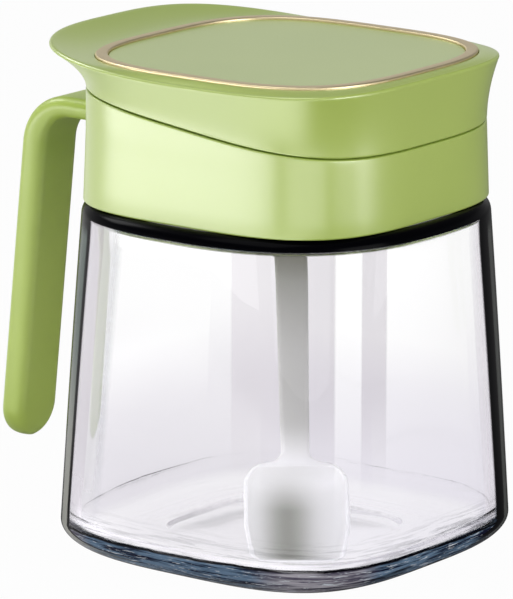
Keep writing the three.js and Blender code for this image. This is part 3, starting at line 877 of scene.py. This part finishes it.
def strap_stations():
    """Places along the strap as rows of x, z, turn, half width and half thickness."""
    lean = math.atan(LEAN)
    turn = math.pi / 2 - lean
    centre_z = ARM_Z - BEND
    centre_x = GRIP_X - LEAN * (GRIP_Z - centre_z) + BEND / math.cos(lean)
    root = -collar_half(ARM_Z - ARM_THICK / 2) - GAP
    half = HANDLE_WIDE / 2
    rows = []
    for back in np.linspace(0, 1, 5):
        rows.append((mix(root, centre_x, back), ARM_Z, 0, half, ARM_THICK / 2))
    for share in np.linspace(0, 1, 33)[1:]:
        angle = share * turn
        thick = mix(ARM_THICK, GRIP_THICK, smooth(share))
        x = centre_x - BEND * math.sin(angle)
        z = centre_z + BEND * math.cos(angle)
        rows.append((x, z, angle, half, thick / 2))
    last_z = rows[-1][1]
    tip_start = TIP_Z + half
    for share in np.linspace(0, 1, 9)[1:]:
        z = mix(last_z, tip_start, share)
        rows.append((GRIP_X - LEAN * (GRIP_Z - z), z, turn, half, GRIP_THICK / 2))
    end_x, end_z = rows[-1][:2]
    tip_thinning = 0.55  # share of the thickness that is gone at the very tip
    least_wide = 0.02  # share of the width that is left there
    for angle in np.radians(np.linspace(0, 90, 25)[1:]):
        reach = math.sin(angle) * half
        wide = max(math.cos(angle), least_wide)
        thick = 1 - tip_thinning * (1 - math.cos(angle)) ** 1.5
        x = end_x - math.sin(lean) * reach
        z = end_z - math.cos(lean) * reach
        rows.append((x, z, turn, half * wide, GRIP_THICK / 2 * thick))
    return rows


def strap_section(x, z, turn, half_wide, half_thick):
    """A rounded rectangle across the strap: straight sides joined by quarter circles."""
    most_round = 0.95  # share of half a side, so that every side keeps a straight part
    corner = min(STRAP_EDGE, half_wide * most_round, half_thick * most_round)
    quarter = np.radians(np.linspace(0, 90, 11))
    sides = []
    for start, side_y, side_out in [(0, 1, 1), (90, -1, 1), (180, -1, -1), (270, 1, -1)]:
        angle = quarter + math.radians(start)
        y = side_y * (half_wide - corner) + corner * np.cos(angle)
        out = side_out * (half_thick - corner) + corner * np.sin(angle)
        sides.append(np.column_stack([x - out * math.sin(turn), y, z + out * math.cos(turn)]))
    return np.vstack(sides)


def make_handle():
    sections = [strap_section(*row)[::-1] for row in strap_stations()]
    piece = loft("handle_strap", sections, HANDLE_GREEN, "cap", poles=True)
    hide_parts("handle")


def make_screw(node, side):
    """A pan-head screw along X: a domed head inside the collar, and a shank into the arm."""
    low, high = node_box(node)
    y = side * 4.0
    shank = 1.2
    head = 2.3
    head_face = high[0] - 1.5
    rim = 0.2
    dome = head_face + 2 * rim
    outline = [(0.05, low[0] + 0.1), (shank / 2, low[0] + 0.2), (shank, low[0] + 1.2)]
    outline += [(shank, head_face), (head - rim, head_face), (head, head_face + rim)]
    outline += [(0.1 + (head - 0.1) * c, dome + (high[0] - dome) * s) for c, s in arc(8)]
    turn = np.arange(48) / 48 * 2 * np.pi
    rings = []
    for radius, x in outline:
        ring = [np.full(48, x), y + radius * np.cos(turn), ARM_Z + radius * np.sin(turn)]
        rings.append(np.column_stack(ring))
    piece = loft(node + "_turned", rings, STEEL, "cap", poles=True)
    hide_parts(node)


# Lid
TAB_REACH = 53.2
FRONT_REACH = 41.8
SIDE_REACH = 41.9
TAB_SQUARENESS = 3.1
FRONT_SQUARENESS = 3.8
LID_TOP = 117.7
TAB_TIP_Z = 120.5
FRONT_EDGE_Z = 117.2
SIDE_EDGE_Z = 116.7
FLARE_POWER = 1.9
EDGE_ROUND = 0.7
CEILING_Z = 114.7
INNER_CORNER = 36.0
RING_HALF = 37.4
RING_SQUARENESS = 3.3
RING_WIDE = 2.6
GROOVE_GAP = 0.12
GROOVE_INNER = RING_HALF - RING_WIDE / 2 - GROOVE_GAP
GROOVE_OUTER = RING_HALF + RING_WIDE / 2 + GROOVE_GAP
GROOVE_Z = 116.7


def lid_edge_radius():
    """A superellipse whose reach and squareness differ between the tab's side and the front."""
    leftwards = np.cos(ANGLES) < 0
    reach = np.where(leftwards, TAB_REACH, FRONT_REACH)
    squareness = np.where(leftwards, TAB_SQUARENESS, FRONT_SQUARENESS)
    total = (np.abs(np.cos(ANGLES)) / reach) ** squareness
    total = total + (np.abs(np.sin(ANGLES)) / SIDE_REACH) ** squareness
    return 1 / total ** (1 / squareness)


def lid_edge_z(x):
    """The upper edge rises with the square of the distance from the middle, most at the tab."""
    share = np.where(x < 0, -x / TAB_REACH, x / FRONT_REACH)
    return mix(SIDE_EDGE_Z, np.where(x < 0, TAB_TIP_Z, FRONT_EDGE_Z), share**2)


def lid_side(up, inwards=0.0, lift=0.0):
    """The side flares from the seam's outline to the edge's as up to the power FLARE_POWER."""
    low = square_radius(ANGLES, COLLAR_EDGE_HALF, COLLAR_SQUARENESS)
    high = lid_edge_radius()
    radius = mix(low, high, up**FLARE_POWER) - inwards
    low_z = seam_z(low * np.cos(ANGLES)) + SEAM / 2 + lift
    return ring_points(radius, mix(low_z, lid_edge_z(high * np.cos(ANGLES)) - EDGE_ROUND, up))


def lid_edge(inwards, drop):
    """The upper edge's outline, drawn in and lowered."""
    high = lid_edge_radius()
    return ring_points(high - inwards, lid_edge_z(high * np.cos(ANGLES)) - drop)


def lid_border(share):
    """The top outside the groove bends from the flat panel to the edge as the share to the 1.6."""
    inner = square_radius(ANGLES, GROOVE_OUTER + 0.25, RING_SQUARENESS)
    outer = lid_edge_radius() - EDGE_ROUND
    edge = lid_edge_z(lid_edge_radius() * np.cos(ANGLES))
    return ring_points(mix(inner, outer, share), mix(LID_TOP, edge, share**1.6))


def make_lid_shell():
    """From the middle of the top outwards over the groove and the border, down the flared side
    and back under the ceiling. A half-round knuckle with a bore is joined on behind."""
    groove_round = 0.12
    rim_round = 0.35

    def level(half, z):
        return square_ring(half, RING_SQUARENESS, z)

    def groove_edge(half, outwards, first, last):
        """The rounded corner between the top and one wall of the groove."""
        corner = [(1 - c, 1 - s) for c, s in arc(3, first, last)]
        return [level(half + outwards * c, LID_TOP - groove_round * s) for c, s in corner]

    def inner_wall(z):
        radius = square_radius(ANGLES, COLLAR_EDGE_HALF - WALL, COLLAR_SQUARENESS)
        return ring_points(radius, np.maximum(z, seam_z(radius * np.cos(ANGLES)) + 0.2))

    rings = [level(half, LID_TOP) for half in (8, 24, GROOVE_INNER - 0.25)]
    rings += groove_edge(GROOVE_INNER, -groove_round, 90, 0)
    rings += [level(GROOVE_INNER, GROOVE_Z), level(GROOVE_OUTER, GROOVE_Z)]
    rings += groove_edge(GROOVE_OUTER, groove_round, 0, 90)
    rings += [lid_border(share) for share in np.linspace(0, 1, 14)[:-1]]
    rings += [lid_edge(EDGE_ROUND * (1 - c), EDGE_ROUND * (1 - s)) for c, s in arc(8, 90, 0)]
    rings += [lid_side(up) for up in np.linspace(1, 0, 30)[1:-1]]
    rings += [lid_side(0, rim_round * (1 - c), rim_round * (1 - s)) for c, s in arc(5)]
    rings += [lid_side(0, WALL), inner_wall(CEILING_Z - 1)]
    rings += [level(INNER_CORNER, CEILING_Z), level(8, CEILING_Z)]
    piece = loft("lid_shell_skin", rings[::-1], GREEN, "lid", poles=True)
    half = LID_KNUCKLE_HALF
    nose = hinge_arc(KNUCKLE, np.linspace(180, 360, 25))
    root_x = -COLLAR_EDGE_HALF - 0.9
    buried_z = HINGE_Z + 7
    top = [(root_x, buried_z), (HINGE_X - KNUCKLE * 0.8, buried_z)]
    outline = np.vstack([nose[:-1], [(root_x, HINGE_Z + 0.6)], top])
    combine(piece, slab_along_y("knuckle", outline[::-1], -half, half, GREEN, "lid"), "UNION")
    hole = slab_along_y("hole", disc_outline(BORE), -half - 2, half + 2, GREEN, "lid")
    combine(piece, hole, "DIFFERENCE")
    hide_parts("lid_shell")


def make_trim_ring():
    """A flat band with rounded upper edges, let into the lid's groove."""
    low, high = node_box("trim_ring")
    half = RING_WIDE / 2
    corners = [(-half, low[2]), (half, low[2]), (half, high[2]), (-half, high[2])]
    rings = []
    for offset, z in rounded_outline(corners, 0.45, 6):
        rings.append(square_ring(RING_HALF + offset, RING_SQUARENESS, z))
    piece = loft("trim_ring_band", rings, GOLD, "lid")
    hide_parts("trim_ring")


def make_lid_liner():
    """A tray that closes the lid from below, with a plug ring under it."""
    low, high = node_box("lid_liner")
    foot = low[2]
    bottom = 103.4
    plate_top = bottom + 2.0
    wall = 1.6
    half = 36.4
    innermost = 6
    plug_outer = 25.6
    plug_inner = 23.6
    edge = 0.4
    tray_edge = 0.5

    def level(inwards, z):
        return square_ring(half - inwards, COLLAR_SQUARENESS, z)

    def plug_corner(radius, inside, first, last):
        """A rounded corner at the plug's foot; inside is 1 on its inner wall and -1 on its outer."""
        corner = [(inside * (1 - c), 1 - s) for c, s in arc(4, first, last)]
        return [ring_points(radius + edge * c, foot + edge * s) for c, s in corner]

    rings = [ring_points(innermost, bottom), ring_points(plug_inner - edge, bottom)]
    rings += [ring_points(plug_inner - edge * (1 - s), bottom - edge * (1 - c)) for c, s in arc(4)]
    rings += [ring_points(plug_inner, foot + edge)]
    rings += plug_corner(plug_inner, 1, 0, 90) + plug_corner(plug_outer, -1, 90, 0)
    rings += [ring_points(plug_outer, bottom)]
    rings += [level(tray_edge * (1 - c), bottom + tray_edge * (1 - s)) for c, s in arc(5, 90, 0)]
    rings += [level(edge * (1 - c), high[2] - edge * (1 - s)) for c, s in arc(4)]
    rings += [level(wall, high[2]), level(wall, plate_top), ring_points(innermost, plate_top)]
    piece = loft("lid_liner_tray", rings, WHITE, "lid", poles=True)
    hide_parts("lid_liner")


def make_lid_seal():
    """A ring with a pointed lip, round the plug."""
    low, high = node_box("lid_seal")
    inner = 25.9
    tip = high[0]
    root = tip - 0.4
    middle = (low[2] + high[2]) / 2
    corners = [(inner, low[2]), (root, low[2]), (tip, middle), (root, high[2]), (inner, high[2])]
    piece = turned("lid_seal_ring", rounded_outline(corners, 0.25), SILICONE, "lid")
    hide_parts("lid_seal")


# Spoon: x across, y up the stem from the foot, z out of the open bowl, then turned and tilted
SPOON_AZIMUTH = math.radians(38.7)
SPOON_TILT = math.radians(37.3)
SPOON_FOOT = (40.7, 1.6, 6.4)  # outwards, sideways and up from the middle of the jar's base
SPOON_LENGTH = 110.8
BOWL_LONG = 26.0
BOWL_HALF = 11.6
BOWL_DEEP = 5.2
NECK_LONG = 3.0
SPOON_WALL = 1.1
STEM_HALF_TOP = 3.8
STEM_HALF_LOW = 3.2
STEM_THICK = 2.0


def spoon_half_width(along):
    """Round foot corners, sides that widen a little, round shoulders, then a neck into the stem.
    A corner of radius r adds the root of r^2 - d^2, with d the distance from the side between."""
    foot = 4.5
    shoulder = 5.5
    shoulder_share = 0.93  # below one, so that the shoulder ends before it is level
    foot_half = BOWL_HALF - 1
    widening = 6.0  # length over which the sides gain the last millimetre
    stem_swell = 1.9  # the stem has its full width one part in 1.9 of the way up

    def rounded(rise):
        part = np.maximum(shoulder**2 - rise**2 * shoulder_share, 0)
        return BOWL_HALF - shoulder + np.sqrt(part)

    low = foot_half - foot + np.sqrt(np.maximum(foot**2 - (foot - along) ** 2, 0.2))
    side = foot_half + np.minimum((along - foot) / widening, 1)
    high = np.maximum(rounded(along - BOWL_LONG + shoulder), STEM_HALF_LOW)
    neck = np.clip((along - BOWL_LONG) / NECK_LONG, 0, 1)
    fall = mix(rounded(shoulder), STEM_HALF_LOW, np.sqrt(1 - (1 - neck) ** 2))
    stem_start = BOWL_LONG + NECK_LONG
    rise = np.minimum((along - stem_start) / (SPOON_LENGTH - stem_start) * stem_swell, 1)
    stem = mix(STEM_HALF_LOW, STEM_HALF_TOP, rise)
    places = [along < foot, along < BOWL_LONG - shoulder, along < BOWL_LONG, along < stem_start]
    return np.select(places, [low, side, high, fall], stem)


def bowl_depth(along, across):
    """Full depth in the middle, falling along quarter ellipses to nothing at the rim."""
    half = spoon_half_width(along) - SPOON_WALL
    end_run = 5.0  # from the rim to the full depth, lengthways
    side_run = 9.0  # and sideways
    lengthways = np.minimum(along - SPOON_WALL, BOWL_LONG - SPOON_WALL - along) / end_run
    sideways = (half - np.abs(across)) / side_run

    def share(value):
        return np.sqrt(np.maximum(1 - (1 - np.clip(value, 0, 1)) ** 2, 0))

    return BOWL_DEEP * share(lengthways) * share(sideways)


def spoon_lengths():
    """Places along the spoon, closest together at its two rounded ends."""
    foot_end = 1.2
    top_end = 3.0
    top_start = SPOON_LENGTH - top_end
    places = [
        foot_end * (1 - np.cos(np.linspace(0.12, np.pi / 2, 8))),
        np.linspace(foot_end + 0.1, BOWL_LONG + 6, 110),
        np.linspace(BOWL_LONG + 8, top_start, 24),
        top_start + top_end * np.sin(np.linspace(0.1, np.pi / 2 - 0.06, 10)),
    ]
    return np.concatenate(places)[:, None]


def lean_spoon(local):
    """Turns and tilts points from the spoon's own axes to where it leans in the jar."""
    outwards = np.array([math.sin(SPOON_AZIMUTH), -math.cos(SPOON_AZIMUTH), 0])
    sideways = np.array([math.cos(SPOON_AZIMUTH), math.sin(SPOON_AZIMUTH), 0])
    upwards = np.array([0, 0, 1])
    stem_way = upwards * math.cos(SPOON_TILT) - outwards * math.sin(SPOON_TILT)
    bowl_way = upwards * math.sin(SPOON_TILT) + outwards * math.cos(SPOON_TILT)
    foot = outwards * SPOON_FOOT[0] + sideways * SPOON_FOOT[1] + upwards * SPOON_FOOT[2]
    return foot + local @ np.stack([sideways, stem_way, bowl_way])


def painted_bowl_shade_mark(along, across):
    """How much a place takes the painted shade of the bowl, which stands in for its concave shading:
    it rises from both ends of the bowl, and sinks to the sides as e to minus the square of the
    distance from a line left of the middle."""
    line = -1.8
    spread = 6.2
    foot_rise = np.clip((along - 1) / 2.5, 0, 1)
    stem_rise = np.clip((BOWL_LONG - along) / 10, 0, 1)
    return foot_rise * stem_rise * np.exp(-(((across - line) / spread) ** 2))


def make_spoon():
    """Front and back are sheets a thickness apart that meet in a half round along the edge."""
    nearly_closed = 0.97
    along = spoon_lengths()
    turn = np.linspace(0, np.pi, 49)[None, :]
    half = spoon_half_width(along)
    across = half * np.cos(turn)
    in_bowl = np.clip((BOWL_LONG + 1 - along) / 2, 0, 1)
    thick = mix(STEM_THICK, SPOON_WALL + 0.2, in_bowl)
    depth = bowl_depth(along, across) * (along < BOWL_LONG)
    edge = np.clip((np.abs(across) - half) / (thick / 2) + 1, 0, 1)
    foot = np.clip(1 - along / (thick / 2), 0, nearly_closed)
    top = np.clip(1 - (SPOON_LENGTH - along) / (STEM_THICK / 2), 0, nearly_closed)
    fade = np.sqrt(np.clip(1 - np.maximum(edge, np.maximum(foot, top)) ** 2, 0.0, 1))
    front = -depth - thick / 2 * (1 - fade)
    back = -depth - thick / 2 * (1 + fade)
    along = np.broadcast_to(along, across.shape)
    upper = np.stack([across, along, front], -1)
    lower = np.stack([across, along, back], -1)[:, ::-1][:, 1:-1]
    placed = lean_spoon(np.concatenate([upper, lower], 1))
    # The painted shade of the bowl lies on the front sheet only, none on the back
    painted_bowl_shade = painted_bowl_shade_mark(along, across)
    painted_bowl_shade = np.concatenate([painted_bowl_shade, painted_bowl_shade[:, 1:-1] * 0], 1)
    piece = loft("spoon_moulding", list(placed), SPOON, "spoon", poles=True, marks={"painted_bowl_shade": painted_bowl_shade})
    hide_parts("spoon")


add_collar_knuckles(make_collar())
make_collar_insert()
make_neck_gasket()
make_hinge_pin()
make_handle()
make_screw("handle_screw_left", 1)
make_screw("handle_screw_right", -1)
make_lid_shell()
make_trim_ring()
make_lid_liner()
make_lid_seal()
make_spoon()


# Ways in degrees, from -Y towards +X, in which gloss mirrors a brighter or a duller room
LEFT_WAY = -66.0
RIGHT_WAY = 150.0
NEAR_WAY = -10.0
TABLE_Z = -0.2  # the floor lies a little under the glass, so that the two faces stay apart
FLOOR_HALF = 6.0  # metres
PLAIN_WHITE = (1.0, 1.0, 1.0, 1.0)


def light_paths(tree):
    """Shares of rays that come straight from the camera, that a surface mirrors, and that have
    come through glass without being scattered."""
    path = "ShaderNodeLightPath"
    seen = tree.node(path, output="Is Camera Ray")
    mirrored = tree.node(path, output="Is Glossy Ray")
    passes = tree.node(path, output="Transmission Depth")
    scattered = tree.node(path, output="Diffuse Depth")
    through = passes.at_most(1.0) * (1.0 - scattered.at_most(1.0))
    return seen, mirrored, through


def one_side(tree, way, degrees, narrowness):
    """One towards a direction, falling softly to zero away from it."""
    turn = math.radians(degrees)
    along = tree.along(way, (math.sin(turn), -math.cos(turn), 0))
    return tree.ramp(along, narrowness - 0.3, narrowness + 0.1)


def floor_surface(tree):
    """Matt for the light that falls on it, with a glow for the camera and for mirrored rays.
    Mirrored, it is dim, but bright in a patch before the jar and plain farther off on the left,
    with a tenth of that at the right back."""
    ground = tree.place()
    grain = tree.noise(ground, scale=35)
    matt = tree.principled(
        {
            "Base Color": tree.blend(grain, colour(172, 172, 173), colour(178, 178, 179)),
            "Roughness": 1.0,
            "Specular IOR Level": 0.0,
        }
    )
    seen, mirrored, through = light_paths(tree)
    reach = tree.node("ShaderNodeVectorMath", {"operation": "LENGTH"}, {0: ground}, output="Value")
    way = tree.node("ShaderNodeVectorMath", {"operation": "NORMALIZE"}, {0: ground})
    farther = tree.ramp(reach, 0.03, 0.22)
    sides = one_side(tree, way, LEFT_WAY, 0.55) + one_side(tree, way, RIGHT_WAY, 0.74) * 0.1
    patch = tree.within(reach, (0.03, 0.08), (0.28, 0.36)) * one_side(tree, way, NEAR_WAY, 0.78)
    level = (seen + through + mirrored * sides * farther).at_most(1.0)
    share = ((seen + through) * 0.975 + mirrored).at_most(1.0)
    dim, plain, bright = (
        tree.node("ShaderNodeEmission", {}, {"Color": PLAIN_WHITE, "Strength": strength})
        for strength in (0.12, 1.0, 2.2)
    )
    glow = tree.mixed(mirrored * patch, tree.mixed(level, dim, plain), bright)
    return tree.mixed(share, matt, glow)


def make_floor():
    """A pale floor that the camera sees as nearly white, and that still takes the jar's shadow."""
    material, tree = new_material("pale_floor")
    tree.out(floor_surface(tree))
    mesh = bpy.data.meshes.new("floor")
    corners = [(-1, -1), (1, -1), (1, 1), (-1, 1)]
    points = [(x * FLOOR_HALF, y * FLOOR_HALF, TABLE_Z * MM) for x, y in corners]
    mesh.from_pydata(points, [], [(0, 1, 2, 3)])
    mesh.materials.append(material)
    floor = bpy.data.objects.new("floor", mesh)
    bpy.context.scene.collection.objects.link(floor)


def make_world():
    """White for what the camera sees, straight on or through glass, and a dim even light on the
    rest. Mirrored rays see it brightest near the horizon, and less bright at the right back."""
    world = bpy.data.worlds.new("studio")
    bpy.context.scene.world = world
    tree = Tree(world)
    seen, mirrored, through = light_paths(tree)
    sky = tree.node("ShaderNodeTexCoord", output="Generated")
    high_up = tree.ramp(tree.height_of(sky), 0.24, 0.45)
    shine = 0.64 - high_up * 0.52 - one_side(tree, sky, RIGHT_WAY, 0.7) * 0.44
    white = (seen + mirrored * shine.at_least(0.0) + through).at_most(1.0)
    room, backdrop = (
        tree.node("ShaderNodeBackground", {}, {"Color": PLAIN_WHITE, "Strength": strength})
        for strength in (0.16, 1.0)
    )
    tree.out(tree.mixed(white, room, backdrop), kind="ShaderNodeOutputWorld")


# Distances of the lamps: the low ones stand near, where the upright green sides mirror them
FAR = 1500
NEAR = 480
LAMP_AIM = Vector((0, 0, 60))  # the middle of the jar


def make_lamp(name, azimuth, elevation, size, radiance, distance):
    """A soft rectangular lamp that faces the jar; its azimuth goes from -Y towards +X."""
    data = bpy.data.lights.new(name, "AREA")
    data.shape = "RECTANGLE"
    data.size, data.size_y = (side * MM for side in size)
    data.energy = radiance * math.pi * data.size * data.size_y
    lamp = bpy.data.objects.new(name, data)
    turn = math.radians(azimuth)
    climb = math.radians(elevation)
    level = math.cos(climb)
    way = Vector((math.sin(turn) * level, -math.cos(turn) * level, math.sin(climb)))
    lamp.location = (LAMP_AIM + way * distance) * MM
    lamp.rotation_euler = (-way).to_track_quat("-Z", "Y").to_euler()
    lamp.visible_camera = False
    lamp.visible_transmission = False
    bpy.context.scene.collection.objects.link(lamp)


def make_lamps():
    """Each row is a lamp's name, azimuth, elevation, size, radiance and distance."""
    for row in [
        ("left_softbox", -29, -2, (700, 110), 4.5, NEAR),
        ("front_softbox", 40, -2, (400, 110), 2.4, NEAR),
        ("right_softbox", 92, 15, (900, 900), 4.0, FAR),
        ("right_strip", 107, -2, (130, 110), 2.5, NEAR),
        ("side_softbox", -85, 38, (500, 500), 7.0, FAR),
        ("top_softbox", -15, 72, (1200, 1200), 1.78, FAR),
    ]:
        make_lamp(*row)


make_camera()
make_floor()
make_world()
make_lamps()

bpy.context.scene.view_settings.view_transform = "Standard"
